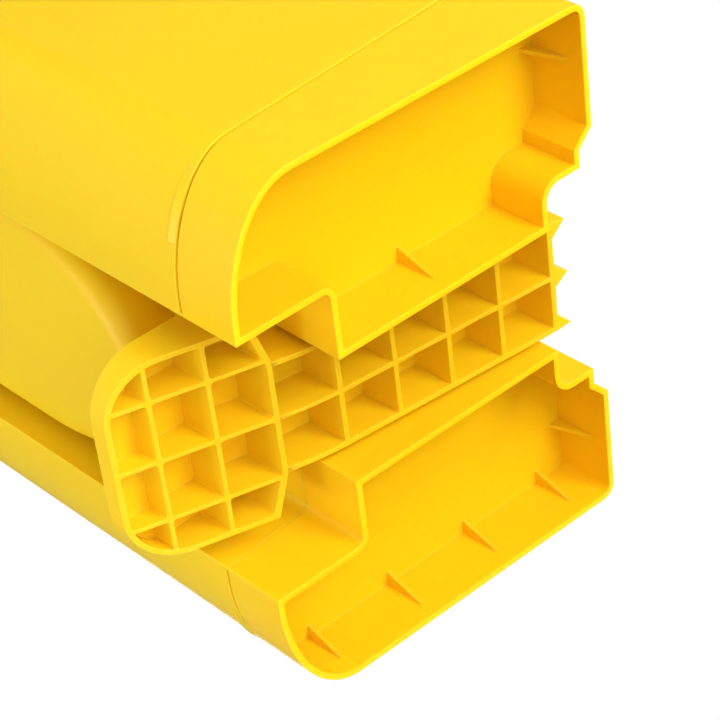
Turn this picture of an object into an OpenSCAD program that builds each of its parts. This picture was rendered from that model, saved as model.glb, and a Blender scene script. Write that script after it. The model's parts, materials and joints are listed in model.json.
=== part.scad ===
// Crowd control barrier: two hollow end posts on skirted base trays, a middle column on a
// ribbed foot, and a scissor lattice folded away inside the posts.
// Origin: on the floor, under the middle of the whole barrier. +X right, -Y front, +Z up.

/* [Posts] */
// Height of the post shell's top edge above the floor
shell_top = 976; // [940:1:1060]
// Depth of a post, front to back
post_depth = 200; // [190:1:230]
// Middle of the barrier to the outer face of a post
post_outer = 130; // [126:1:150]
// Middle of the barrier to the inner face of a post
post_inner = 31.5; // [30.5:0.5:33]
// Wall thickness of posts, trays and caps
post_wall = 3; // [2:0.5:3.5]
// Depth of the rounded front outer corner
front_radius = 38; // [25:1:60]
// Radius of the outer back corner
back_radius = 7; // [7:0.5:12]
// Middle of the barrier to the post's inner face at the front notch
front_notch_side = 65; // [64:1:68]
// Depth of the front notch that clears the foot's head
front_notch_depth = 49; // [44:1:52]
// Middle of the barrier to the post's inner face at the back notch
back_notch_side = 53; // [48:1:58]
// Depth of the back notch
back_notch_depth = 29.5; // [24:0.5:34]
// Size of the small step and bevel beside the back notch
back_bevel = 8.5; // [5:0.5:10]
// Radius of the concave corner of the front notch
front_notch_radius = 4; // [2:0.5:8]
// Radius of the concave corner of the back notch
notch_radius = 8; // [3:0.5:10]
// Width of the slot that the lattice runs through
lattice_slot = 34; // [32:1:38]

/* [Base trays] */
// Depth of the hollow under the tray
tray_depth = 31; // [24:1:32]
// Thickness of the tray's floor
tray_floor = 3; // [2:0.5:4]
// Height of the joint between tray and shell, at the front
joint_front = 33; // [30:0.5:40]
// Rise of the joint toward the back, as a slope
joint_slope = 0.09; // [0:0.01:0.12]
// Height and depth of the shadow groove in the joint
groove = 1.5; // [1:0.1:2]
// Height of the plug that stands inside the shell
plug_height = 12; // [6:1:25]
// Clearance between plug and shell
plug_fit = 0.25; // [0.15:0.05:0.4]
// Wall thickness of a plug
plug_wall = 2.5; // [2:0.5:3]
// Spacing of the gussets along the tray's outer wall
gusset_pitch = 48; // [40:1:54]
// Front of the post to the middle of the outer wall's gussets
gusset_middle = 108; // [100:1:116]
// Front of the post to the gusset on the inner wall
inner_gusset = 112; // [70:1:150]
// Height of a gusset
gusset_height = 23; // [15:1:26]
// Reach of a gusset along the floor
gusset_reach = 7; // [4:0.5:9]
// Thickness of a gusset
gusset_wall = 2; // [1.5:0.5:3]

/* [Post caps] */
// Height of a cap above the shell
cap_height = 24; // [18:1:40]
// Rounding of the cap's top edge
cap_radius = 6; // [3:0.5:6.5]

/* [Lattice] */
// Sideways spacing of the pivots with the barrier closed
closed_pitch = 41; // [40:0.5:42]
// Angle of a slat from the vertical with the barrier fully open
open_angle = 50; // [30:1:55]
// Width of a slat
slat_width = 37; // [30:1:38]
// Thickness of a slat
slat_wall = 6; // [4:0.5:6]
// Space between the front and the back slats
layer_gap = 2; // [1.5:0.5:3]
// Depth of the panel sunk into a slat's face
slat_pocket = 1.5; // [1:0.5:2]
// Top of the shell down to the lattice's top pivots
pivot_drop = 86; // [80:1:100]
// Height of the lattice's bottom pivots with the barrier closed
bottom_pivot = 121; // [119:1:130]
// Front of the post to the lattice's middle plane
lattice_depth = 105; // [102:1:108]
// Length of a reflector
reflector_length = 120; // [60:5:200]
// Thickness of a reflector
reflector_wall = 1; // [0.5:0.1:1.2]

/* [Pivots] */
// Radius of a lattice rivet
rivet_radius = 4; // [3:0.5:5]
// Radius of the pins in posts and column
pin_radius = 5; // [4:0.5:6]
// Radius of rivet and pin heads
head_radius = 9; // [8:0.5:11]
// Thickness of rivet and pin heads
head_wall = 2; // [1.5:0.1:2.2]
// Radial clearance of a pin in the slat that turns on it
turn_fit = 0.08; // [0.03:0.01:0.1]
// Side clearance of a pin in its slot
slide_fit = 0.3; // [0.2:0.05:0.6]
// Clearance between a turning slat and the head beside it
face_fit = 0.15; // [0.1:0.05:0.3]

/* [Lattice rails] */
// Middle of the barrier to the open edge of a post's rail
rail_edge = 62; // [58:1:64]
// Wall thickness of a rail
rail_wall = 3; // [2:0.5:4]
// Height of the rail's foot above the floor
rail_bottom = 64; // [62:1:80]
// Top of the shell down to the rail's top
rail_drop = 26; // [14:1:40]

/* [Column] */
// Half the width of the column's core
core_side = 26; // [24:0.5:27]
// Wall thickness of the core
core_wall = 3; // [2:0.5:4]
// Front of the post to the front of the column's core
core_front = 32; // [30:1:40]
// Front of the post to the back of the column's core
core_back = 172; // [165:1:176]
// Top of the shell down to the core's top
core_drop = 51; // [41:1:60]
// Height of the block between the foot and the core
block_top = 76; // [70:1:84]
// Height of the column's cap
column_cap_height = 10; // [6:1:16]
// How far the column's cap stands out beyond the core
column_cap_edge = 3; // [1:0.5:4]

/* [Column panel] */
// Half the width of the front panel
panel_side = 60; // [55:0.5:62]
// Front of the post to the middle of the panel's face
panel_front = 4; // [2:0.5:8]
// How far the panel's face bulges
panel_bulge = 4.6; // [2:0.2:8]
// Height of the panel's lowest point
panel_bottom = 80; // [76:1:100]
// Height of the panel's rounded lower end
panel_end = 88; // [60:1:110]
// Top of the core down to the panel's top
panel_drop = 3; // [1:1:20]
// Radius of the panel's top corners
panel_corner = 24; // [10:1:40]
// Half the spacing of the webs behind the panel
panel_web = 20; // [14:1:23]
// Wall thickness of the panel
panel_wall = 3; // [2:0.5:4]

/* [Handle] */
// Rise of the grip's middle above the column's cap
grip_rise = 54; // [46:1:70]
// Radius of the grip
grip_radius = 10; // [8:0.5:13]
// Distance between the handle's legs
grip_span = 120; // [100:1:128]
// Radius of the handle's bends
grip_bend = 22; // [15:1:28]
// Radius of the flange under a leg
leg_flange = 18; // [14:0.5:22]

/* [Foot] */
// Half the width of the foot's head
head_side = 50; // [46:0.5:55]
// Front of the post to the tip of the head
head_nose = 38; // [30:1:44]
// Radius of the head's front corners
head_corner = 27; // [15:1:32]
// How far the ends of the head's back wall step forward
heel_taper = 6.5; // [2:0.5:12]
// Half the width of the straight part of the head's back wall
heel_flat = 27; // [20:1:40]
// Front of the post to the back of the head
head_back = 33; // [28:1:38]
// Half the width of the foot's bar
bar_side = 28.5; // [24:0.5:29]
// Front of the post to the back end of the bar
bar_back = 179; // [170:1:184]
// Number of cells along the bar
bar_cells = 5; // [4:1:7]
// Spacing of the ribs in the head, front to back
head_pitch = 24.7; // [20:0.1:28]
// Spacing of the ribs in the head, side to side
head_cross_pitch = 30; // [24:0.5:32]
// Thickness of the foot's ribs
rib_wall = 1.8; // [1.4:0.1:3]
// Thickness of the foot's outer wall
foot_wall = 2.4; // [2:0.1:4]
// Thickness of the foot's top skin
foot_skin = 2.5; // [2:0.5:4]
// Depth of the bar, rim to top
foot_depth = 25; // [20:1:30]
// Height of the head's flat top
head_top = 55; // [50:1:60]
// Height of the bar's rim at its back end
rim_back = 7.4; // [4:0.1:10]
// Rise of the rim, as a slope from back to front
rim_slope = 0.089; // [0.05:0.001:0.12]
// Extra rise of the rim under the head
curl_slope = 0.22; // [0.1:0.01:0.25]
// Front of the post to the bend where the extra rise starts
curl_start = 48.5; // [45:0.5:52]
// Length over which the bend is blended
curl_blend = 10; // [4:1:16]
// Reach of the three teeth at the bar's end
tooth_reach = 7.5; // [5:0.5:11]
// Half the width of the middle tooth
tooth_side = 6; // [4:0.5:8]
// Width of a tooth at the bar's side
tooth_corner = 9.6; // [7:0.2:12]
// Height of a tooth's top
tooth_top = 19; // [14:1:24]

/* [Hidden] */
$fn = 48;

front = (head_nose - post_depth) / 2;
back = front + post_depth;
lattice_y = front + lattice_depth;
cut = 1;
yellow = [1.0, 0.82, 0.05];
steel = [0.72, 0.73, 0.75];
silver_film = [0.9, 0.9, 0.88];

plug_reach = post_wall + plug_fit + plug_wall;
groove_start = front_notch_side + groove;
front_sweep = post_outer - front_notch_side - plug_reach - plug_fit;
outer_pitch = 2 * closed_pitch;
top_pivot = shell_top - pivot_drop;
middle_pivot = (top_pivot + bottom_pivot) / 2;
arm = norm([closed_pitch, top_pivot - bottom_pivot]) / 2;
lean = atan(closed_pitch / (top_pivot - bottom_pivot));
bottom_pivot_open = top_pivot - 2 * arm * cos(open_angle);
layer_half = slat_wall + layer_gap / 2;
rail_top = shell_top - rail_drop;
rail_air = 2;
rail_half = layer_half + head_wall + rail_air;
rail_reach = rail_half + rail_wall;
core_reach = rail_half + core_wall;
collar_radius = rivet_radius + 4;
sleeve_radius = pin_radius + 3;
turn_pin = pin_radius + turn_fit;
turn_rivet = rivet_radius + turn_fit;
core_top = shell_top - core_drop;
panel_top = core_top - panel_drop;
column_mid = front + (core_front + core_back) / 2;
cap_bottom = core_top;
handle_seat = core_top + column_cap_height;
grip_height = handle_seat + grip_rise;
flange_wall = 4;
screw_radius = 3;
tooth_inset = 0.6;
screw_head = 2;
bulge_radius = (panel_side * panel_side + panel_bulge * panel_bulge) / (2 * panel_bulge);

// ---- helpers ----

function arc(x, y, r, from, to, steps) =
    [for (i = [0:steps]) let (a = from + (to - from) * i / steps) [x + r * cos(a), y + r * sin(a)]];

// Outline of the right post seen from above, moved inward by d.
function post_outline(d) = let (k = sqrt(2) - 1) concat(
    [[front_notch_side + d, front + d]],
    [for (a = [-90:3.75:0]) [
        post_outer - front_sweep + (front_sweep - d) * cos(a),
        front + front_radius + (front_radius - d) * sin(a)
    ]],
    arc(post_outer - back_radius, back - back_radius, back_radius - d, 0, 90, 8),
    [
        [back_notch_side + 2 * back_bevel + k * d, back - d],
        [back_notch_side + back_bevel + k * d, back - back_bevel - d],
        [back_notch_side + d, back - back_bevel - d]
    ],
    arc(back_notch_side - notch_radius, back - back_notch_depth + notch_radius,
        notch_radius + d, 0, -90, 8),
    [
        [post_inner + d, back - back_notch_depth - d],
        [post_inner + d, front + front_notch_depth + d]
    ],
    arc(front_notch_side - front_notch_radius, front + front_notch_depth - front_notch_radius,
        front_notch_radius + d, 90, 0, 6)
);

// A closed ring between two outlines of the post.
module post_ring(outer, inner, bottom, height) {
    translate([0, 0, bottom]) linear_extrude(height) difference() {
        polygon(post_outline(outer));
        polygon(post_outline(inner));
    }
}

// Skin over a stack of outlines that have equal numbers of points; tops is [inset, height].
module lofted_post(tops) {
    rings = [for (t = tops) [for (p = post_outline(t[0])) [p[0], p[1], t[1]]]];
    n = len(rings[0]);
    last = (len(rings) - 1) * n;
    sides = [for (r = [0:len(rings) - 2]) for (i = [0:n - 1]) let (j = (i + 1) % n)
        each [[r * n + i, r * n + n + j, r * n + j], [r * n + i, r * n + n + i, r * n + n + j]]];
    polyhedron(
        points = [for (r = rings) each r],
        faces = concat([[for (i = [0:n - 1]) i]], sides, [[for (i = [n - 1:-1:0]) last + i]])
    );
}

// A cylinder along Y, from one y to another, measured from the lattice's middle plane.
module pin_part(r, from, to) {
    translate([0, lattice_y + to, 0]) rotate([90, 0, 0]) cylinder(r = r, h = to - from);
}

// ---- posts ----

// Height of the joint between tray and shell, by place from front to back.
function joint_z(y) = joint_front + joint_slope * (y - front);

// Everything below the joint, raised by lift.
module below_joint(lift) {
    translate([-cut, 0, 0]) rotate([90, 0, 90]) linear_extrude(post_outer + 2 * cut) polygon([
        [front - cut, -2 * cut], [back + cut, -2 * cut],
        [back + cut, joint_z(back + cut) + lift], [front - cut, joint_z(front - cut) + lift]
    ]);
}

// The side of the post that shows the groove, from x outward.
module grooved_side(x) {
    translate([x, front - cut, 0]) cube([post_outer, post_depth + 2 * cut, shell_top]);
}

module tray() {
    difference() {
        union() {
            intersection() {
                linear_extrude(shell_top) polygon(post_outline(0));
                below_joint(0);
            }
            intersection() {
                linear_extrude(shell_top) polygon(post_outline(groove));
                below_joint(groove);
                grooved_side(groove_start + plug_fit);
            }
            intersection() {
                linear_extrude(shell_top) polygon(post_outline(post_wall + plug_fit));
                below_joint(groove + plug_height);
            }
        }
        translate([0, 0, -cut]) linear_extrude(tray_depth + cut) polygon(post_outline(post_wall));
        translate([0, 0, tray_depth + tray_floor]) linear_extrude(shell_top)
            polygon(post_outline(plug_reach));
    }
    for (i = [-1.5:1:1.5]) gusset(post_outer - post_wall, front + gusset_middle + i * gusset_pitch, 180);
    gusset(post_inner + post_wall, front + inner_gusset, 0);
    gusset((back_notch_side + post_outer) / 2 + back_bevel, back - post_wall, -90);
}

// A thin triangle between wall and floor; turn points it away from the wall.
module gusset(x, y, turn) {
    translate([x, y, tray_depth]) rotate([0, 0, turn])
        translate([0, gusset_wall / 2, 0]) rotate([90, 0, 0]) linear_extrude(gusset_wall)
        polygon([[0, 0], [gusset_reach, 0], [0, -gusset_height]]);
}

module shell() {
    difference() {
        post_ring(0, post_wall, tray_depth, shell_top - tray_depth);
        below_joint(0);
        intersection() {
            below_joint(groove);
            grooved_side(groove_start);
        }
        translate([post_inner - cut, lattice_y - lattice_slot / 2, 0])
            cube([post_wall + 2 * cut, lattice_slot, shell_top + cut]);
    }
}

module cap() {
    straight = shell_top + cap_height - cap_radius;
    difference() {
        lofted_post(concat([[0, shell_top]],
            [for (a = [0:15:90]) [cap_radius * (1 - cos(a)), straight + cap_radius * sin(a)]]));
        translate([0, 0, shell_top - cut])
            linear_extrude(cap_height - cap_radius - post_wall + cut)
            polygon(post_outline(plug_reach));
    }
    post_ring(post_wall + plug_fit, plug_reach, shell_top - plug_height, plug_height);
}

// Upright channel inside a post: the top pin sits in its holes, the slide pin in its slots.
module rail() {
    web = post_outer - post_wall;
    difference() {
        translate([rail_edge, lattice_y - rail_reach, rail_bottom])
            cube([web - rail_edge, 2 * rail_reach, rail_top - rail_bottom]);
        translate([rail_edge - cut, lattice_y - rail_half, rail_bottom - cut])
            cube([web - rail_edge - rail_wall + cut, 2 * rail_half, rail_top - rail_bottom + 2 * cut]);
        translate([outer_pitch, 0, top_pivot]) pin_part(pin_radius, -rail_reach - cut, rail_reach + cut);
        translate([outer_pitch, 0, 0]) slide_slot(-rail_reach - cut, rail_reach + cut);
    }
}

// Upright slot with round ends for a slide pin.
module slide_slot(from, to) {
    r = pin_radius + slide_fit;
    for (z = [bottom_pivot, bottom_pivot_open]) translate([0, 0, z]) pin_part(r, from, to);
    translate([-r, lattice_y + from, bottom_pivot])
        cube([2 * r, to - from, bottom_pivot_open - bottom_pivot]);
}

// Pin fixed in a post, with sleeves that keep its slat in its layer.
module post_pin(layer) {
    near = layer_half - slat_wall;
    translate([outer_pitch, 0, top_pivot]) mirrored_layer(layer) {
        pin_part(pin_radius, -rail_reach, rail_reach);
        pin_part(head_radius, -rail_reach - head_wall, -rail_reach);
        pin_part(head_radius, rail_reach, rail_reach + head_wall);
        pin_part(sleeve_radius, -rail_half, -layer_half - face_fit);
        pin_part(sleeve_radius, -near + face_fit, rail_half);
    }
}

// ---- lattice ----

// One slat, hung at its top pivot. side is the way its foot leans (+1 right), layer is
// -1 for the front slats and +1 for the back ones.
module slat(x, side, layer, r_top, r_middle, r_low) {
    color(yellow) place_slat(x, side) difference() {
        slat_slab(layer, layer_half - slat_wall, layer_half) slat_outline();
        for (hole = [[0, r_top], [-arm, r_middle], [-2 * arm, r_low]])
            translate([0, 0, hole[0]]) pin_part(hole[1], -layer_half - cut, layer_half + cut);
        for (z = [-1.5 * arm, -0.5 * arm])
            slat_slab(layer, layer_half - slat_pocket, layer_half + cut) pocket_outline(z, 0);
    }
}

module place_slat(x, side) {
    translate([x, 0, top_pivot]) rotate([0, -side * lean, 0]) children();
}

// Extrudes a flat shape in XZ from one distance to another off the lattice's middle plane.
module slat_slab(layer, from, to) {
    translate([0, lattice_y + (layer > 0 ? to : -from), 0])
        rotate([90, 0, 0]) linear_extrude(to - from) children();
}

module slat_outline() {
    translate([-slat_width / 2, -2 * arm]) square([slat_width, 2 * arm]);
    for (z = [0, -2 * arm]) translate([0, z]) circle(r = slat_width / 2);
}

module pocket_outline(z, inset) {
    length = arm - 2 * (head_radius + slat_width / 2);
    width = slat_width - 10;
    translate([-width / 2 + inset, z - length / 2 + inset])
        square([width - 2 * inset, length - 2 * inset]);
}

// Reflectors lying in the two pockets of a slat.
module reflectors(x, side, layer) {
    place_slat(x, side) for (z = [-1.5 * arm, -0.5 * arm])
        slat_slab(layer, layer_half - slat_pocket, layer_half - slat_pocket + reflector_wall)
        translate([0, z]) square([slat_width - 12, reflector_length], center = true);
}

// Rivet held by the slat in its own layer; the slat in the other layer turns on it.
module rivet(x, z, layer) {
    near = layer_half - slat_wall;
    translate([x, 0, z]) mirrored_layer(layer) {
        pin_part(rivet_radius, -layer_half, layer_half + face_fit);
        pin_part(head_radius, -layer_half - head_wall, -layer_half);
        pin_part(collar_radius, -near, near - face_fit);
        pin_part(head_radius, layer_half + face_fit, layer_half + face_fit + head_wall);
    }
}

// The rivets at the middle and the foot of an inner slat.
module rivet_pair(side, layer) {
    rivet(side * closed_pitch / 2, middle_pivot, layer);
    rivet(side * closed_pitch, bottom_pivot, layer);
}

// Leaves front-layer shapes as they are and mirrors them for the back layer.
module mirrored_layer(layer) {
    if (layer < 0) children();
    else translate([0, 2 * lattice_y, 0]) mirror([0, 1, 0]) children();
}

// Pin held by a slat and sliding in upright slots; second is true where another slat turns on it.
module slide_pin(x, layer, second) {
    near = layer_half - slat_wall;
    air = 2 * face_fit;
    far = max(rail_reach, core_reach) + air;
    translate([x, 0, bottom_pivot]) mirrored_layer(layer) {
        pin_part(pin_radius, -far, far);
        pin_part(head_radius, -far - head_wall, -far);
        pin_part(head_radius, far, far + head_wall);
        pin_part(sleeve_radius, -rail_half + air, -layer_half);
        if (second) {
            pin_part(sleeve_radius, -near, near - face_fit);
            pin_part(sleeve_radius, layer_half + face_fit, rail_half - air);
        } else {
            pin_part(sleeve_radius, -near, rail_half - air);
        }
    }
}

// ---- column ----

// Half of the column's core: a closed tube on one side of the lattice.
module core(from, to) {
    difference() {
        translate([-core_side, from, block_top]) cube([2 * core_side, to - from, core_top - block_top]);
        translate([-core_side + core_wall, from + core_wall, block_top - cut])
            cube([2 * (core_side - core_wall), to - from - 2 * core_wall, core_top - block_top + 2 * cut]);
        translate([0, 0, top_pivot]) pin_part(pin_radius, -core_reach - cut, core_reach + cut);
        slide_slot(-core_reach - cut, core_reach + cut);
    }
}

module column_block() {
    ys = [for (i = [0:16]) core_front + (core_back - core_front) * i / 16];
    outline = concat([for (y = ys) [front + y, foot_top(y)]],
        [[front + core_back, block_top], [front + core_front, block_top]]);
    translate([-core_side, 0, 0]) rotate([90, 0, 90]) linear_extrude(2 * core_side) polygon(outline);
}

function panel_outline(d) = let (
    a = panel_side - d,
    b = panel_end - d,
    z = panel_bottom + panel_end,
    r = panel_corner - d
) concat(
    [for (i = [0:40]) [a * cos(180 + 4.5 * i), z + b * sin(180 + 4.5 * i)]],
    arc(panel_side - panel_corner, panel_top - panel_corner, r, 0, 90, 8),
    arc(panel_corner - panel_side, panel_top - panel_corner, r, 90, 180, 8)
);

module panel_volume(d) {
    intersection() {
        translate([0, front + core_front + (d > 0 ? cut : 0), 0]) rotate([90, 0, 0])
            linear_extrude(core_front) polygon(panel_outline(d));
        translate([0, front + panel_front + bulge_radius, 0])
            cylinder(r = bulge_radius - d, h = shell_top, $fn = 360);
    }
}

module column_panel() {
    difference() {
        panel_volume(0);
        panel_volume(panel_wall);
    }
    intersection() {
        panel_volume(0);
        for (x = [-panel_web, panel_web])
            translate([x - panel_wall / 2, front, panel_bottom + panel_end / 2])
                cube([panel_wall, core_front, panel_top - panel_bottom - panel_end]);
    }
}

module column_cap() {
    width = 2 * (core_side + column_cap_edge);
    depth = core_back - core_front + column_cap_edge;
    translate([-width / 2, front + core_front, cap_bottom]) cube([width, depth, column_cap_height]);
}

module carry_handle() {
    bend_top = grip_height - grip_bend;
    for (s = [-1, 1]) translate([0, column_mid + s * grip_span / 2, 0]) {
        translate([0, 0, handle_seat]) cylinder(r = grip_radius, h = bend_top - handle_seat);
        translate([0, 0, handle_seat]) cylinder(r = leg_flange, h = flange_wall);
        translate([0, -s * grip_bend, bend_top]) rotate([0, -90, 0]) rotate([0, 0, s > 0 ? 0 : -90])
            rotate_extrude(angle = 90) translate([grip_bend, 0]) circle(r = grip_radius);
    }
    translate([0, column_mid + grip_span / 2 - grip_bend, grip_height]) rotate([90, 0, 0])
        cylinder(r = grip_radius, h = grip_span - 2 * grip_bend);
}

module handle_screws() {
    for (s = [-1, 1], t = [-1, 1])
        translate([t * (grip_radius + leg_flange) / 2, column_mid + s * grip_span / 2, 0])
        translate([0, 0, handle_seat + flange_wall]) cylinder(r = screw_radius, h = screw_head);
}

module column_pin() {
    near = layer_half - slat_wall;
    translate([0, 0, top_pivot]) {
        pin_part(pin_radius, -core_reach, core_reach);
        for (layer = [-1, 1]) mirrored_layer(layer) {
            pin_part(head_radius, -core_reach - head_wall, -core_reach);
            pin_part(sleeve_radius, -rail_half, -layer_half - face_fit);
        }
        pin_part(sleeve_radius, -near + face_fit, near - face_fit);
    }
}

// ---- foot ----

// Height of the foot's lower rim and of its top, by distance from the front of the posts.
function foot_rim(y) = let (s = curl_start - y)
    rim_back + rim_slope * (bar_back - y) + curl_slope * (s + sqrt(s * s + curl_blend * curl_blend)) / 2;
function foot_top(y) = min(foot_rim(y) + foot_depth, head_top);

module head_outline(d) {
    tip = front - head_nose;
    heel = front + head_back;
    polygon([
        [head_corner - head_side, tip + d], [head_side - head_corner, tip + d],
        [head_side - d, tip + head_corner], [head_side - d, heel - heel_taper - d],
        [heel_flat, heel - d], [-heel_flat, heel - d],
        [d - head_side, heel - heel_taper - d], [d - head_side, tip + head_corner]
    ]);
    for (s = [-1, 1]) translate([s * (head_side - head_corner), tip + head_corner])
        circle(r = head_corner - d);
}

module bar_outline(d, from) {
    translate([-bar_side + d, front + from]) square([2 * (bar_side - d), bar_back - d - from]);
}

module teeth_outline() {
    y = front + bar_back;
    polygon([[-tooth_side, y - cut], [0, y + tooth_reach], [tooth_side, y - cut]]);
    for (s = [-1, 1]) polygon([
        [s * (bar_side - tooth_inset), y - cut], [s * (bar_side - 2 * tooth_inset), y + tooth_reach],
        [s * (bar_side - tooth_corner), y - cut]
    ]);
}

module ribs_outline() {
    bar_cell = (bar_back - foot_wall - head_back) / bar_cells;
    heel = head_back - foot_wall;
    for (i = [1:bar_cells - 1])
        translate([-bar_side, front + head_back + i * bar_cell - rib_wall / 2])
        square([2 * bar_side, rib_wall]);
    for (y = [heel - head_pitch:-head_pitch:-head_nose])
        translate([-head_side, front + y - rib_wall / 2]) square([2 * head_side, rib_wall]);
    for (x = [-head_cross_pitch, head_cross_pitch])
        translate([x - rib_wall / 2, front - head_nose]) square([rib_wall, head_nose + head_back]);
    translate([-rib_wall / 2, front - head_nose]) square([rib_wall, head_nose + bar_back]);
}

// Side view of the foot, stretched below its rim by drop and lowered at its top by skin.
module foot_profile(drop, skin) {
    start = -head_nose - 2;
    end = bar_back + tooth_reach + 1;
    ys = [for (i = [0:44]) start + (end - start) * i / 44];
    side = concat(
        [for (y = ys) [front + y, foot_rim(y) - drop]],
        [for (i = [44:-1:0]) [front + ys[i], foot_top(ys[i]) - skin]]
    );
    translate([-head_side - cut, 0, 0]) rotate([90, 0, 90])
        linear_extrude(2 * (head_side + cut)) polygon(side);
}

module whole_foot() {
    difference() {
        intersection() {
            union() {
                linear_extrude(2 * head_top) {
                    head_outline(0);
                    bar_outline(0, 0);
                }
                linear_extrude(tooth_top) teeth_outline();
            }
            foot_profile(0, 0);
        }
        intersection() {
            translate([0, 0, -cut]) linear_extrude(2 * head_top) difference() {
                union() {
                    head_outline(foot_wall);
                    bar_outline(foot_wall, head_back);
                }
                ribs_outline();
            }
            foot_profile(foot_depth, foot_skin);
        }
    }
}

// The space in front of the head's back wall, where the foot's head ends.
module head_space() {
    translate([-head_side - cut, front - head_nose - cut, 0])
        cube([2 * (head_side + cut), head_nose + head_back + cut, 2 * head_top]);
}

module foot_head() {
    intersection() {
        whole_foot();
        head_space();
    }
}

module foot() {
    difference() {
        whole_foot();
        head_space();
    }
}

module on_left() { mirror([1, 0, 0]) children(); }

color(yellow) core(front + core_front, lattice_y - rail_half);  // column_front
color(yellow) core(lattice_y + rail_half, front + core_back);  // column_back
color(yellow) column_block();
color(yellow) column_panel();
color(yellow) column_cap();
color(yellow) carry_handle();
color(steel) handle_screws();
color(yellow) foot();
color(yellow) foot_head();
color(steel) column_pin();  // pin_column
slat(0, 1, -1, turn_pin, rivet_radius, rivet_radius);  // slat_r1_front
slat(closed_pitch, -1, 1, rivet_radius, turn_rivet, pin_radius);  // slat_r1_back
slat(closed_pitch, 1, -1, turn_rivet, rivet_radius, pin_radius);  // slat_r2_front
slat(outer_pitch, -1, 1, turn_pin, turn_rivet, turn_rivet);  // slat_r2_back
slat(0, -1, 1, turn_pin, rivet_radius, rivet_radius);  // slat_l1_back
slat(-closed_pitch, 1, -1, rivet_radius, turn_rivet, turn_pin);  // slat_l1_front
slat(-closed_pitch, -1, 1, turn_rivet, rivet_radius, pin_radius);  // slat_l2_back
slat(-outer_pitch, 1, -1, turn_pin, turn_rivet, turn_rivet);  // slat_l2_front
color(steel) rivet_pair(1, -1);  // rivets_r1
color(steel) rivet(closed_pitch, top_pivot, 1);  // rivet_r1_top
color(steel) rivet(1.5 * closed_pitch, middle_pivot, -1);  // rivet_r2
color(steel) slide_pin(0, 1, true);  // slide_pin_column
color(steel) slide_pin(outer_pitch, -1, false);  // slide_pin_right
color(steel) rivet_pair(-1, 1);  // rivets_l1
color(steel) rivet(-closed_pitch, top_pivot, -1);  // rivet_l1_top
color(steel) rivet(-1.5 * closed_pitch, middle_pivot, 1);  // rivet_l2
color(steel) slide_pin(-outer_pitch, 1, false);  // slide_pin_left
color(silver_film) reflectors(0, 1, -1);  // reflectors_r1_front
color(silver_film) reflectors(closed_pitch, -1, 1);  // reflectors_r1_back
color(silver_film) reflectors(closed_pitch, 1, -1);  // reflectors_r2_front
color(silver_film) reflectors(outer_pitch, -1, 1);  // reflectors_r2_back
color(silver_film) reflectors(0, -1, 1);  // reflectors_l1_back
color(silver_film) reflectors(-closed_pitch, 1, -1);  // reflectors_l1_front
color(silver_film) reflectors(-closed_pitch, -1, 1);  // reflectors_l2_back
color(silver_film) reflectors(-outer_pitch, 1, -1);  // reflectors_l2_front
color(yellow) shell();  // shell_right
color(yellow) tray();  // tray_right
color(yellow) cap();  // cap_right
color(steel) rail();  // rail_right
color(steel) post_pin(1);  // pin_right
color(yellow) on_left() shell();  // shell_left
color(yellow) on_left() tray();  // tray_left
color(yellow) on_left() cap();  // cap_left
color(steel) on_left() rail();  // rail_left
color(steel) on_left() post_pin(-1);  // pin_left
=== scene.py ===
# %% [markdown]
# # An expandable crowd control barrier, folded up
# The barrier is a folding plastic fence: two tall hollow end posts, a narrow column
# between them and a lattice of crossed slats that lies folded inside. The solids come
# from the part's own source and stay where they are. Blender gives them rounded
# moulded edges, a plastic that looks like plastic, light, and a camera.

# %% The frame
import json
import math

import bmesh
import bpy
from mathutils import Matrix, Vector


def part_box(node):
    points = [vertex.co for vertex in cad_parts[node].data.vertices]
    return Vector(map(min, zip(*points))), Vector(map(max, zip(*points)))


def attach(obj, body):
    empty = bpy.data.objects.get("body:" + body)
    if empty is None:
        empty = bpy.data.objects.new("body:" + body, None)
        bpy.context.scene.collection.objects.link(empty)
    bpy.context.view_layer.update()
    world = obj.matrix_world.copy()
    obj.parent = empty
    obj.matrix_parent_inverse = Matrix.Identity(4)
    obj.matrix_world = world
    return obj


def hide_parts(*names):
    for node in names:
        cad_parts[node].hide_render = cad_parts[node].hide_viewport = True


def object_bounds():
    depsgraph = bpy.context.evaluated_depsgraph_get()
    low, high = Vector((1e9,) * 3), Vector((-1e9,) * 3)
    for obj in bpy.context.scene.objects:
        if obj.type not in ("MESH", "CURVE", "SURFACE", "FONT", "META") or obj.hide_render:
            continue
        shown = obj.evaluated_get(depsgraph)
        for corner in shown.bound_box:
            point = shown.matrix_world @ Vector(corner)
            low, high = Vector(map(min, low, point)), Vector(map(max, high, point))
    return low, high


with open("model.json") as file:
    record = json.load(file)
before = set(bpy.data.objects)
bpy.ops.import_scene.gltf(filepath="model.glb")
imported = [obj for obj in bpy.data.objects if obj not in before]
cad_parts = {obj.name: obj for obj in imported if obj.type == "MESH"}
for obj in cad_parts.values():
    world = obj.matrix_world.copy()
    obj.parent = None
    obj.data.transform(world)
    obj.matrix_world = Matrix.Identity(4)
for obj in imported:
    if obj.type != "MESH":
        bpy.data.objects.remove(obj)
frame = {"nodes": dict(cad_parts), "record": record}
cad_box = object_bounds()
body_of_node = {n: b for b, nodes in frame["record"]["behaviour"]["bodies"].items() for n in nodes}
slot_of_node = {s["node"]: s["material_slot"] for s in frame["record"]["subparts"]}
print("barrier", [round(v, 3) for v in cad_box[1] - cad_box[0]], "m,", len(body_of_node), "nodes")

# %% [markdown]
# ## Camera
# A long lens looks up at the underside from below and in front, rolled so that the
# right post is at the top, as if the folded barrier lay on its side. The rotation is
# built from the three directions of the view, which is easier to read than angles.

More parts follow.
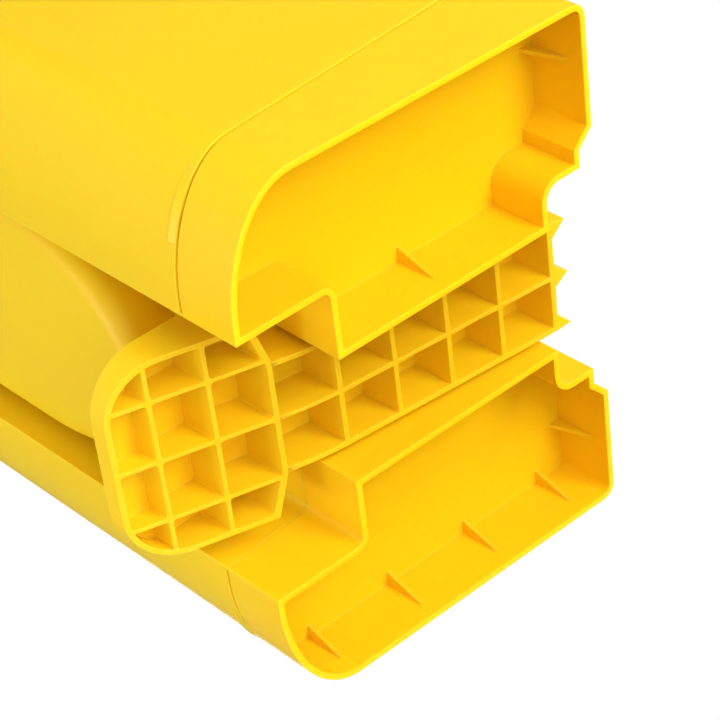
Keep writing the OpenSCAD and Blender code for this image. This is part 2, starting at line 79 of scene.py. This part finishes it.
# %% Camera
view_right = Vector((-0.10596, 0.73401, -0.67082))
view_up = Vector((0.80981, 0.45519, 0.37015))
view_back = Vector((0.57705, -0.50401, -0.64264))
camera = bpy.data.objects.new("camera", bpy.data.cameras.new("camera"))
bpy.context.scene.collection.objects.link(camera)
turn = Matrix((view_right, view_up, view_back)).transposed().to_4x4()
camera.matrix_world = Matrix.Translation((0.62477, -0.54462, -0.66694)) @ turn
camera.data.lens = 127.49
camera.data.sensor_width = 36.0
camera.data.clip_start = 0.05
camera.data.clip_end = 30.0
bpy.context.scene.camera = camera
print("camera", round(camera.location.length, 3), "m from the origin")

# %% [markdown]
# ## World
# The world is a plain pale studio. Seen straight by the camera it is white; as a lamp
# it is weaker, so it fills the shadows softly.

# %% World
def link(tree, a, out, b, into):
    tree.links.new(a.outputs[out], b.inputs[into])


def number(tree, operation, first, second=0.0):
    """A math node: each operand is a plain number or an output socket."""
    node = tree.nodes.new("ShaderNodeMath")
    node.operation = operation
    for socket, value in zip(node.inputs, (first, second)):
        if isinstance(value, (int, float)):
            socket.default_value = value
        else:
            tree.links.new(value, socket)
    return node.outputs[0]


WORLD_LEVEL = 0.25
world = bpy.data.worlds.new("studio")
world.use_nodes = True
bpy.context.scene.world = world
tree = world.node_tree
sky = tree.nodes["Background"]
sky.inputs["Color"].default_value = (1.0, 1.0, 1.0, 1.0)
path = tree.nodes.new("ShaderNodeLightPath")
seen = number(tree, "MAXIMUM", path.outputs["Is Camera Ray"], path.outputs["Is Transmission Ray"])
mix = tree.nodes.new("ShaderNodeMix")
mix.inputs["A"].default_value = WORLD_LEVEL
mix.inputs["B"].default_value = 1.0
tree.links.new(seen, mix.inputs["Factor"])
tree.links.new(mix.outputs["Result"], sky.inputs["Strength"])
print("world level", WORLD_LEVEL, "as a lamp")

# %% [markdown]
# ## Floor
# The floor is a sheet of paper that can be seen only from above: from below, where this
# camera stands, its back side is clear, and the key lamp shines through it. Far out the
# paper fades into the white world, so that no horizon shows.

# %% Floor paper
PAPER_GLOW = 0.16
FADE_START, FADE_END = 0.6, 2.4
floor_finish = bpy.data.materials.new("floor_paper")
floor_finish.use_nodes = True
tree = floor_finish.node_tree
paper = tree.nodes["Principled BSDF"]
paper.inputs["Base Color"].default_value = (0.9, 0.9, 0.9, 1.0)
paper.inputs["Roughness"].default_value = 0.9
paper.inputs["Specular IOR Level"].default_value = 0.0
paper.inputs["Emission Color"].default_value = (1.0, 1.0, 1.0, 1.0)
clear = tree.nodes.new("ShaderNodeBsdfTransparent")
side = tree.nodes.new("ShaderNodeNewGeometry")
path = tree.nodes.new("ShaderNodeLightPath")
glow = number(tree, "MULTIPLY", path.outputs["Is Camera Ray"], PAPER_GLOW)
tree.links.new(glow, paper.inputs["Emission Strength"])
distance = tree.nodes.new("ShaderNodeVectorMath")
distance.operation = "LENGTH"
tree.links.new(tree.nodes.new("ShaderNodeTexCoord").outputs["Object"], distance.inputs[0])
fade = tree.nodes.new("ShaderNodeMapRange")
fade.interpolation_type = "SMOOTHSTEP"
fade.inputs["From Min"].default_value = FADE_START
fade.inputs["From Max"].default_value = FADE_END
tree.links.new(distance.outputs["Value"], fade.inputs["Value"])
open_side = number(tree, "MAXIMUM", side.outputs["Backfacing"], path.outputs["Is Shadow Ray"])
cover = tree.nodes.new("ShaderNodeMixShader")
tree.links.new(number(tree, "MAXIMUM", open_side, fade.outputs["Result"]), cover.inputs["Fac"])
tree.links.new(paper.outputs["BSDF"], cover.inputs[1])
tree.links.new(clear.outputs["BSDF"], cover.inputs[2])
tree.links.new(cover.outputs["Shader"], tree.nodes["Material Output"].inputs["Surface"])
print("paper fades from", FADE_START, "to", FADE_END, "m")

# %% Floor sheet
HALF_SHEET, SHEET_DROP = 3.0, 0.0015
sheet = bmesh.new()
bmesh.ops.create_grid(sheet, x_segments=1, y_segments=1, size=HALF_SHEET)
bmesh.ops.translate(sheet, verts=sheet.verts, vec=(0.0, 0.0, -SHEET_DROP))
floor_mesh = bpy.data.meshes.new("floor")
sheet.to_mesh(floor_mesh)
sheet.free()
floor_mesh.materials.append(floor_finish)
floor = bpy.data.objects.new("floor", floor_mesh)
bpy.context.scene.collection.objects.link(floor)
print("floor", round(floor.dimensions.x, 1), "m wide")

# %% [markdown]
# ## Lamps
# Every lamp is a large soft square, like a softbox. Its power is worked out from the
# level of light that it adds to a surface facing it, where the white world alone at
# strength 1 is level 1: a square of power P at distance d gives P / (pi * d) ** 2.
# The key stands low, behind and beside the right post, and fills the open trays. Two
# more low lamps, one to the side and one in front of it, soften its shadows. One lamp
# in front lights the panel, and the rest keep the top, the back and the far side
# readable.

# %% Lamps
def softbox(name, place, aim, size, level):
    lamp = bpy.data.lights.new(name, "AREA")
    lamp.shape = "SQUARE"
    lamp.size = size
    away = Vector(place) - Vector(aim)
    lamp.energy = level * (math.pi * away.length) ** 2
    lamp_object = bpy.data.objects.new(name, lamp)
    turn = away.to_track_quat("Z", "Y").to_matrix().to_4x4()
    lamp_object.matrix_world = Matrix.Translation(place) @ turn
    bpy.context.scene.collection.objects.link(lamp_object)
    return lamp_object


near_end, middle = (0.05, 0.0, 0.0), (0.0, 0.0, 0.5)
softbox("key", (1.2, 0.5, -1.5), near_end, 1.0, 0.60)
softbox("side_fill", (1.5, 0.1, -1.0), near_end, 1.2, 0.52)
softbox("low_fill", (0.8, -0.9, -1.6), near_end, 1.2, 0.34)
softbox("front", (0.0, -2.4, 0.7), near_end, 1.4, 0.42)
softbox("back_right", (1.4, 1.8, 0.0), near_end, 1.4, 0.18)
softbox("top", (0.3, -0.4, 3.4), middle, 2.0, 0.45)
softbox("back_left", (-2.0, 1.6, 1.4), middle, 1.8, 0.50)

# %% [markdown]
# ## Groups for the plastic
# Moulded polyethylene is never quite flat or evenly shiny. A fine grain from the mould
# wall breaks up the gloss, wide shallow waves from shrinkage bend it, and a pale colour on
# the edges is partly scuffing and partly a painted highlight on the rims. Each effect is a
# group with its own values, so that every plastic can use it at its own strength.

# %% Group helpers
def new_group(name, inputs, outputs):
    group = bpy.data.node_groups.new(name, "ShaderNodeTree")
    for label, kind, value in inputs:
        socket = group.interface.new_socket(label, in_out="INPUT", socket_type=kind)
        socket.default_value = value
    for label, kind in outputs:
        group.interface.new_socket(label, in_out="OUTPUT", socket_type=kind)
    start = group.nodes.new("NodeGroupInput")
    end = group.nodes.new("NodeGroupOutput")
    return group, start, end


def noise(group, start, end_vector, scale_from, detail, roughness):
    """A noise on object coordinates whose scale comes from a socket of the group."""
    node = group.nodes.new("ShaderNodeTexNoise")
    node.inputs["Detail"].default_value = detail
    node.inputs["Roughness"].default_value = roughness
    group.links.new(end_vector, node.inputs["Vector"])
    group.links.new(start.outputs[scale_from], node.inputs["Scale"])
    return node


NUMBER, COLOUR = "NodeSocketFloat", "NodeSocketColor"

# %% Mould skin: grain and shrinkage waves
skin, start, end = new_group(
    "mould_skin",
    [("Grain Scale", NUMBER, 900.0), ("Grain Depth", NUMBER, 0.00004),
     ("Wave Scale", NUMBER, 9.0), ("Wave Depth", NUMBER, 0.0006)],
    [("Height", NUMBER), ("Patch", NUMBER)],
)
place = skin.nodes.new("ShaderNodeTexCoord").outputs["Object"]
grain = noise(skin, start, place, "Grain Scale", 2.0, 0.6)
wave = noise(skin, start, place, "Wave Scale", 1.0, 0.4)
fine = number(skin, "MULTIPLY", grain.outputs["Fac"], start.outputs["Grain Depth"])
wide = number(skin, "MULTIPLY", wave.outputs["Fac"], start.outputs["Wave Depth"])
skin.links.new(number(skin, "ADD", fine, wide), end.inputs["Height"])
skin.links.new(wave.outputs["Fac"], end.inputs["Patch"])
print("group", skin.name)

# %% Pigment: slow colour drift of the resin
pigment, start, end = new_group(
    "resin_pigment",
    [("Base", COLOUR, (0.9, 0.6, 0.01, 1.0)), ("Thin", COLOUR, (0.95, 0.65, 0.02, 1.0)),
     ("Cloud Scale", NUMBER, 5.0), ("Amount", NUMBER, 0.5)],
    [("Color", COLOUR)],
)
place = pigment.nodes.new("ShaderNodeTexCoord").outputs["Object"]
cloud = noise(pigment, start, place, "Cloud Scale", 3.0, 0.5)
share = number(pigment, "MULTIPLY", cloud.outputs["Fac"], start.outputs["Amount"])
blend = pigment.nodes.new("ShaderNodeMix")
blend.data_type = "RGBA"
pigment.links.new(share, blend.inputs[0])
pigment.links.new(start.outputs["Base"], blend.inputs[6])
pigment.links.new(start.outputs["Thin"], blend.inputs[7])
pigment.links.new(blend.outputs[2], end.inputs["Color"])
print("group", pigment.name)

# %% Scuffs and painted highlight: pale colour on the edges
# The pale edge colour is partly scuffing and partly a painted highlight that stands in for the light the
# rims catch.
rub_and_highlight, start, end = new_group(
    "edge_rub_and_highlight",
    [("Color", COLOUR, (0.9, 0.6, 0.01, 1.0)), ("Rubbed And Highlit", COLOUR, (1.0, 0.75, 0.12, 1.0)),
     ("Radius", NUMBER, 0.0015), ("Strength", NUMBER, 0.6), ("Patch Scale", NUMBER, 60.0)],
    [("Color", COLOUR), ("Mask", NUMBER)],
)
place = rub_and_highlight.nodes.new("ShaderNodeTexCoord").outputs["Object"]
round_edge = rub_and_highlight.nodes.new("ShaderNodeBevel")
round_edge.samples = 6
rub_and_highlight.links.new(start.outputs["Radius"], round_edge.inputs["Radius"])
face = rub_and_highlight.nodes.new("ShaderNodeNewGeometry")
agree = rub_and_highlight.nodes.new("ShaderNodeVectorMath")
agree.operation = "DOT_PRODUCT"
rub_and_highlight.links.new(round_edge.outputs["Normal"], agree.inputs[0])
rub_and_highlight.links.new(face.outputs["Normal"], agree.inputs[1])
turned = number(rub_and_highlight, "SUBTRACT", 1.0, agree.outputs["Value"])
edge = number(rub_and_highlight, "MULTIPLY", turned, 5.0)
patches = noise(rub_and_highlight, start, place, "Patch Scale", 3.0, 0.6)
worn_and_highlit = number(rub_and_highlight, "MULTIPLY", edge, patches.outputs["Fac"])
mask_node = rub_and_highlight.nodes.new("ShaderNodeClamp")
rub_and_highlight.links.new(number(rub_and_highlight, "MULTIPLY", worn_and_highlit, start.outputs["Strength"]), mask_node.inputs[0])
blend = rub_and_highlight.nodes.new("ShaderNodeMix")
blend.data_type = "RGBA"
rub_and_highlight.links.new(mask_node.outputs[0], blend.inputs[0])
rub_and_highlight.links.new(start.outputs["Color"], blend.inputs[6])
rub_and_highlight.links.new(start.outputs["Rubbed And Highlit"], blend.inputs[7])
rub_and_highlight.links.new(blend.outputs[2], end.inputs["Color"])
rub_and_highlight.links.new(mask_node.outputs[0], end.inputs["Mask"])
print("group", rub_and_highlight.name)

# %% [markdown]
# ## Plastics
# All yellow parts are one resin, so one function mixes the groups into a material. The
# posts are blow moulded and softly glossy, the column and foot are injection moulded
# with a finer grain, and the slats are a little flatter.

# %% The yellow plastics
def yellow_plastic(name, base, thin, roughness, grain_depth, wave_depth, rub_and_highlight_strength):
    finish = bpy.data.materials.new(name)
    finish.use_nodes = True
    tree = finish.node_tree
    shader = tree.nodes["Principled BSDF"]
    shader.inputs["IOR"].default_value = 1.48
    shader.inputs["Specular IOR Level"].default_value = 0.3
    shader.inputs["Subsurface Weight"].default_value = 0.45
    shader.inputs["Subsurface Radius"].default_value = (1.0, 0.5, 0.05)
    shader.inputs["Subsurface Scale"].default_value = 0.004
    parts = {}
    for group in (skin, pigment, rub_and_highlight):
        parts[group.name] = tree.nodes.new("ShaderNodeGroup")
        parts[group.name].node_tree = group
    colour = parts["resin_pigment"]
    colour.inputs["Base"].default_value = (*base, 1.0)
    colour.inputs["Thin"].default_value = (*thin, 1.0)
    rub_and_highlight_node = parts["edge_rub_and_highlight"]
    rub_and_highlight_node.inputs["Strength"].default_value = rub_and_highlight_strength
    texture = parts["mould_skin"]
    texture.inputs["Grain Depth"].default_value = grain_depth
    texture.inputs["Wave Depth"].default_value = wave_depth
    # The pale edge colour, partly scuffing and partly a painted highlight, goes into the base colour.
    link(tree, colour, "Color", rub_and_highlight_node, "Color")
    link(tree, rub_and_highlight_node, "Color", shader, "Base Color")
    gloss = tree.nodes.new("ShaderNodeMapRange")
    gloss.inputs["To Min"].default_value = roughness - 0.05
    gloss.inputs["To Max"].default_value = roughness + 0.07
    link(tree, texture, "Patch", gloss, "Value")
    duller = number(tree, "MULTIPLY", rub_and_highlight_node.outputs["Mask"], 0.25)
    tree.links.new(number(tree, "ADD", duller, gloss.outputs["Result"]), shader.inputs["Roughness"])
    bump = tree.nodes.new("ShaderNodeBump")
    bump.inputs["Strength"].default_value = 1.0
    bump.inputs["Distance"].default_value = 1.0
    link(tree, texture, "Height", bump, "Height")
    link(tree, bump, "Normal", shader, "Normal")
    return finish


# The last number of each finish sets how strong the pale edge colour is, partly scuffing and partly a
# painted highlight.
resin, thin_resin = (0.95, 0.62, 0.006), (0.97, 0.66, 0.009)
finishes = {
    "yellow_post": yellow_plastic("post_yellow", resin, thin_resin, 0.36, 0.00002, 0.0012, 0.5),
    "yellow_column": yellow_plastic("column_yellow", resin, thin_resin, 0.42, 0.00002, 0.0006, 0.5),
    "yellow_slat": yellow_plastic("slat_yellow", resin, thin_resin, 0.46, 0.00001, 0.0004, 0.3),
}

# %% [markdown]
# ## Zinc-plated steel
# Rivets, pins, rails and screws are plated steel. The plating is grey and softly
# mottled, with a few duller spangles, so its roughness follows a noise.

# %% The steel and the reflectors
def plated_steel():
    finish = bpy.data.materials.new("zinc_plate")
    finish.use_nodes = True
    tree = finish.node_tree
    shader = tree.nodes["Principled BSDF"]
    shader.inputs["Base Color"].default_value = (0.62, 0.63, 0.65, 1.0)
    shader.inputs["Metallic"].default_value = 1.0
    texture = tree.nodes.new("ShaderNodeGroup")
    texture.node_tree = skin
    texture.inputs["Grain Scale"].default_value = 400.0
    texture.inputs["Wave Scale"].default_value = 120.0
    texture.inputs["Wave Depth"].default_value = 0.00004
    gloss = tree.nodes.new("ShaderNodeMapRange")
    gloss.inputs["To Min"].default_value = 0.25
    gloss.inputs["To Max"].default_value = 0.5
    link(tree, texture, "Patch", gloss, "Value")
    link(tree, gloss, "Result", shader, "Roughness")
    bump = tree.nodes.new("ShaderNodeBump")
    bump.inputs["Distance"].default_value = 1.0
    link(tree, texture, "Height", bump, "Height")
    link(tree, bump, "Normal", shader, "Normal")
    return finish


def reflective_sheet():
    finish = bpy.data.materials.new("reflective_sheet")
    finish.use_nodes = True
    tree = finish.node_tree
    shader = tree.nodes["Principled BSDF"]
    shader.inputs["Roughness"].default_value = 0.22
    shader.inputs["Coat Weight"].default_value = 0.6
    place = tree.nodes.new("ShaderNodeTexCoord")
    cells = tree.nodes.new("ShaderNodeTexVoronoi")
    cells.inputs["Scale"].default_value = 260.0
    link(tree, place, "Object", cells, "Vector")
    shade = tree.nodes.new("ShaderNodeMapRange")
    shade.inputs["To Min"].default_value = 0.0
    shade.inputs["To Max"].default_value = 1.0
    link(tree, cells, "Distance", shade, "Value")
    blend = tree.nodes.new("ShaderNodeMix")
    blend.data_type = "RGBA"
    blend.inputs[6].default_value = (0.83, 0.83, 0.80, 1.0)
    blend.inputs[7].default_value = (0.62, 0.63, 0.62, 1.0)
    tree.links.new(shade.outputs["Result"], blend.inputs[0])
    tree.links.new(blend.outputs[2], shader.inputs["Base Color"])
    return finish


finishes["steel"] = plated_steel()
finishes["reflector"] = reflective_sheet()
print("finishes", sorted(finishes))

# %% [markdown]
# ## Moulded edges
# A moulded part has no sharp edge: the tool is polished round, so every rim catches a
# thin line of light. A copy of each plastic solid is merged, its flat triangles are
# joined into whole faces, and bmesh.ops.bevel rounds what is left. The same bevel
# fills the inner corners, as the fillets of a real tool do. Each cap's seat, the flat
# face that rests on its shell, is filled anew, because the solid's triangles fold over
# the front notch there.

# %% Rounding helper
def stand_for(node, form, smooth_below=40.0):
    """Turn a finished bmesh into the piece that is seen in a node's place."""
    mesh = bpy.data.meshes.new(node + "_moulded")
    form.to_mesh(mesh)
    form.free()
    mesh.shade_smooth()
    mesh.set_sharp_from_angle(angle=math.radians(smooth_below))
    mesh.materials.append(finishes[slot_of_node[node]])
    piece = bpy.data.objects.new(node + "_moulded", mesh)
    bpy.context.scene.collection.objects.link(piece)
    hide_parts(node)
    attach(piece, body_of_node[node])
    return piece


def solid_of(node):
    form = bmesh.new()
    form.from_mesh(frame["nodes"][node].data)
    bmesh.ops.remove_doubles(form, verts=form.verts, dist=1e-5)
    bmesh.ops.dissolve_limit(form, angle_limit=math.radians(0.6), verts=form.verts, edges=form.edges)
    bmesh.ops.dissolve_degenerate(form, dist=1e-4, edges=form.edges)
    return form


def close_again(form, height):
    """Take the flat faces at a height away and fill the gap between its outlines anew."""
    flat = [
        f for f in form.faces
        if abs(f.normal.z) > 0.99 and abs(f.calc_center_median().z - height) < 1e-5
    ]
    bmesh.ops.delete(form, geom=flat, context="FACES")
    outline = [e for e in form.edges if e.is_boundary]
    bmesh.ops.triangle_fill(form, edges=outline, use_beauty=True)
    bmesh.ops.recalc_face_normals(form, faces=form.faces)


def hard_edges(form, sharp):
    return [e for e in form.edges if len(e.link_faces) == 2 and e.calc_face_angle() > math.radians(sharp)]


def round_off(form, edges, radius, segments):
    bmesh.ops.bevel(
        form, geom=edges, offset=radius, offset_type="OFFSET", segments=segments,
        profile=0.5, affect="EDGES", clamp_overlap=True, material=-1,
    )


def flat_faces_stay_flat(piece):
    piece.modifiers.new("flat faces stay flat", "WEIGHTED_NORMAL").keep_sharp = True


def moulded(node, radius, segments=3, sharp=28.0, seat=None):
    form = solid_of(node)
    if seat is not None:
        close_again(form, seat)
    edges = hard_edges(form, sharp)
    round_off(form, edges, radius, segments)
    piece = stand_for(node, form)
    flat_faces_stay_flat(piece)
    print(node, len(edges), "edges rounded,", len(piece.data.polygons), "faces")
    return piece


# %% The moulded pieces
for side in ("right", "left"):
    moulded("shell_" + side, 0.0008)
    moulded("tray_" + side, 0.0006)
    moulded("cap_" + side, 0.0008, seat=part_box("shell_" + side)[1].z)
for node in ("column_front", "column_back", "column_block", "column_cap"):
    moulded(node, 0.0010)
moulded("carry_handle", 0.0015)
for node, slot in slot_of_node.items():
    if slot == "yellow_slat":
        moulded(node, 0.0008)

# %% [markdown]
# ## Shapes built from rings
# The panel and the screws are stacks of closed rings, each joined to the next with
# bmesh.ops.bridge_loops. The panel's rings follow its outline, half an ellipse below
# and rounded corners above. They step inward as they come forward, so that the rim
# rolls over in one soft radius and the face bulges a little.

# %% Ring helpers
def add_ring(form, points):
    verts = [form.verts.new(p) for p in points]
    return [form.edges.new((a, b)) for a, b in zip(verts, verts[1:] + verts[:1])]


def stack(form, rings, close_first=False, close_last=True):
    loops = [add_ring(form, ring) for ring in rings]
    for lower, upper in zip(loops, loops[1:]):
        bmesh.ops.bridge_loops(form, edges=lower + upper)
    for wanted, loop in ((close_first, loops[0]), (close_last, loops[-1])):
        if wanted:
            bmesh.ops.contextual_create(form, geom=loop)
    bmesh.ops.recalc_face_normals(form, faces=form.faces)


# %% The column's front panel
low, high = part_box("column_panel")
half, end, corner = high.x, 0.088, 0.024
wall, roll, bulge = 0.0026, 0.010, 0.0046
curve = (half ** 2 + bulge ** 2) / (2 * bulge)


def panel_ring(inset, forward):
    """The outline pulled in by inset, at a distance behind the bulged face or at the back."""
    a, b, r = half - inset, end - inset, max(corner - inset, 0.002)
    flat = [
        (a * math.cos(math.radians(180 + 3 * i)), low.z + end + b * math.sin(math.radians(180 + 3 * i)))
        for i in range(61)
    ]
    for start, s in ((0, 1), (90, -1)):
        for i in range(13):
            t = math.radians(start + 7.5 * i)
            flat.append((s * (a - r) + r * math.cos(t), high.z - inset - r + r * math.sin(t)))
    if forward is None:
        return [(x, high.y, z) for x, z in flat]
    return [(x, low.y + x * x / (2 * curve) + forward, z) for x, z in flat]


rings = [panel_ring(0.0, None)]
for step in range(9):
    t = math.radians(90 * step / 8)
    rings.append(panel_ring(roll * (1 - math.cos(t)), roll * (1 - math.sin(t))))
rings += [panel_ring(inset, 0.0) for inset in (0.016, 0.024, 0.034, 0.044, 0.052, 0.057)]
form = bmesh.new()
stack(form, rings)
panel = stand_for("column_panel", form)
shell = panel.modifiers.new("wall", "SOLIDIFY")
shell.thickness = wall
shell.offset = -1.0
print("panel", len(panel.data.polygons), "faces, box", [round(v, 4) for v in panel.dimensions])

# %% [markdown]
# ## The ribbed foot
# A deep rib has to leave the mould, so it is thinner at its rim than at its root. The
# upright inner corners of each cell are rounded first. Then every cell's ceiling is
# drawn in a little from its walls, which gives the walls their draft, and last all the
# rims get a fine radius. The head and the bar meet without a radius, as one moulding.

# %% The foot
def is_wall(face):
    return abs(face.normal.z) < 0.3


def ribbed(node, seam, corner=0.0016, draft=0.0006, rim=0.00045):
    form = solid_of(node)
    upright = [
        e for e in hard_edges(form, 28.0)
        if not e.is_convex and abs((e.verts[0].co - e.verts[1].co).normalized().z) > 0.9
        and all(is_wall(f) and f.calc_area() > 2 * corner * e.calc_length() for f in e.link_faces)
    ]
    round_off(form, upright, corner, 3)
    bmesh.ops.dissolve_degenerate(form, dist=rim, edges=form.edges)
    ceilings = [
        f for f in form.faces
        if f.normal.z < -0.7 and any(is_wall(g) for e in f.edges for g in e.link_faces) and all(
            not e.is_convex for e in f.edges for g in e.link_faces if g is not f and is_wall(g)
        )
    ]
    for vert in {v for f in ceilings for v in f.verts}:
        sides = [Vector((g.normal.x, g.normal.y, 0.0)).normalized() for g in vert.link_faces if is_wall(g)]
        inward = sum(sides, Vector()).normalized()
        if inward.length > 0.5:
            vert.co += inward * draft / max(min(inward.dot(n) for n in sides), 0.5)
    edges = [
        e for e in hard_edges(form, 28.0)
        if any(abs(v.co.y - seam) > 1e-4 for v in e.verts)
    ]
    round_off(form, edges, rim, 2)
    piece = stand_for(node, form)
    flat_faces_stay_flat(piece)
    print(node, len(upright), "corners,", len(ceilings), "ceilings,", len(piece.data.polygons), "faces")


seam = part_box("foot")[0].y
ribbed("foot", seam)
ribbed("foot_head", seam)

# %% [markdown]
# ## Lips on the shells
# At the front corner of each post the shell's lower edge carries a shallow lip that
# leans in toward the joint. It fades out at one end and stops short at the other.

# %% The lips
FRONT, SWEEP, DEPTH = cad_box[0].y + 0.038, 0.059, 0.038
JOINT_FRONT, JOINT_SLOPE, GROOVE = 0.033, 0.09, 0.0015


def corner_point(turn, outward):
    """A point of the post's rounded front corner, in front of its outer side, and its joint."""
    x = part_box("shell_right")[1].x - SWEEP + (SWEEP + outward) * math.cos(turn)
    y = FRONT + DEPTH + (DEPTH + outward) * math.sin(turn)
    return x, y, JOINT_FRONT + JOINT_SLOPE * (y - FRONT) + GROOVE


def make_lip(side, name, steps=24, first=-64.0, sweep=36.0):
    """One lip, from the first angle on round the corner; side is 1 or -1."""
    form = bmesh.new()
    loops = []
    for i in range(steps + 1):
        share = i / steps
        turn = math.radians(first + sweep * share)
        fade = min(1.0, 1.6 * (1 - share)) ** 0.7
        section = [(-0.0006, 0.0003), (0.0001, 0.0003), (0.0008 * fade, 0.0040), (-0.0006, 0.0044)]
        points = []
        for outward, up in section:
            x, y, z = corner_point(turn, outward)
            points.append((side * x, y, z + up))
        loops.append(points)
    stack(form, loops, close_first=True)
    mesh = bpy.data.meshes.new("lip_" + name)
    form.to_mesh(mesh)
    form.free()
    mesh.shade_smooth()
    mesh.set_sharp_from_angle(angle=math.radians(30.0))
    mesh.materials.append(finishes["yellow_post"])
    piece = bpy.data.objects.new("lip_" + name, mesh)
    bpy.context.scene.collection.objects.link(piece)
    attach(piece, "post_" + name)
    return piece


for side, name in ((1, "right"), (-1, "left")):
    lip = make_lip(side, name)
print("lip", [round(v, 4) for v in lip.dimensions])

# %% [markdown]
# ## Screws
# The four screws that hold the handle have rounded heads with a hexagon socket. A
# socket ring has as many points as the round rings, set on a hexagon, so the same
# bridge joins them.

# %% The handle's screws
def circle(centre, radius, z):
    return [
        (centre.x + radius * math.cos(math.tau * i / 48), centre.y + radius * math.sin(math.tau * i / 48), z)
        for i in range(48)
    ]


def hexagon(centre, radius, z):
    points = []
    for i in range(48):
        t = math.tau * i / 48
        reach = radius * math.cos(math.pi / 6) / math.cos((t % (math.pi / 3)) - math.pi / 6)
        points.append((centre.x + reach * math.cos(t), centre.y + reach * math.sin(t), z))
    return points


low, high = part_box("handle_screws")
form = bmesh.new()
for x in (low.x + 0.003, high.x - 0.003):
    for y in (low.y + 0.003, high.y - 0.003):
        centre = Vector((x, y))
        head = [circle(centre, 0.003, low.z), circle(centre, 0.003, low.z + 0.0008)]
        for step in range(1, 5):
            t = math.radians(22.5 * step)
            head.append(circle(centre, 0.0018 + 0.0012 * math.cos(t), low.z + 0.0008 + 0.0012 * math.sin(t)))
        head += [hexagon(centre, 0.0015, high.z - 0.0001), hexagon(centre, 0.0014, low.z + 0.0007)]
        stack(form, head, close_first=True)
screws = stand_for("handle_screws", form)
print("screws", len(screws.data.polygons), "faces")

# %% [markdown]
# ## Turned steel and reflectors
# Pins, rivets and rails are exact turned or bent shapes. Their edges are broken by a
# fraction of a millimetre so that they catch light. The reflectors keep the mesh of
# the part's source and only get their finish.

# %% Steel and reflectors
for node, slot in slot_of_node.items():
    if slot == "steel" and node != "handle_screws":
        moulded(node, 0.0005, segments=2)
    if slot == "reflector":
        for holder in frame["nodes"][node].material_slots:
            holder.link = "OBJECT"
            holder.material = finishes[slot]

# %% Finish
bpy.context.scene.view_settings.view_transform = "Standard"
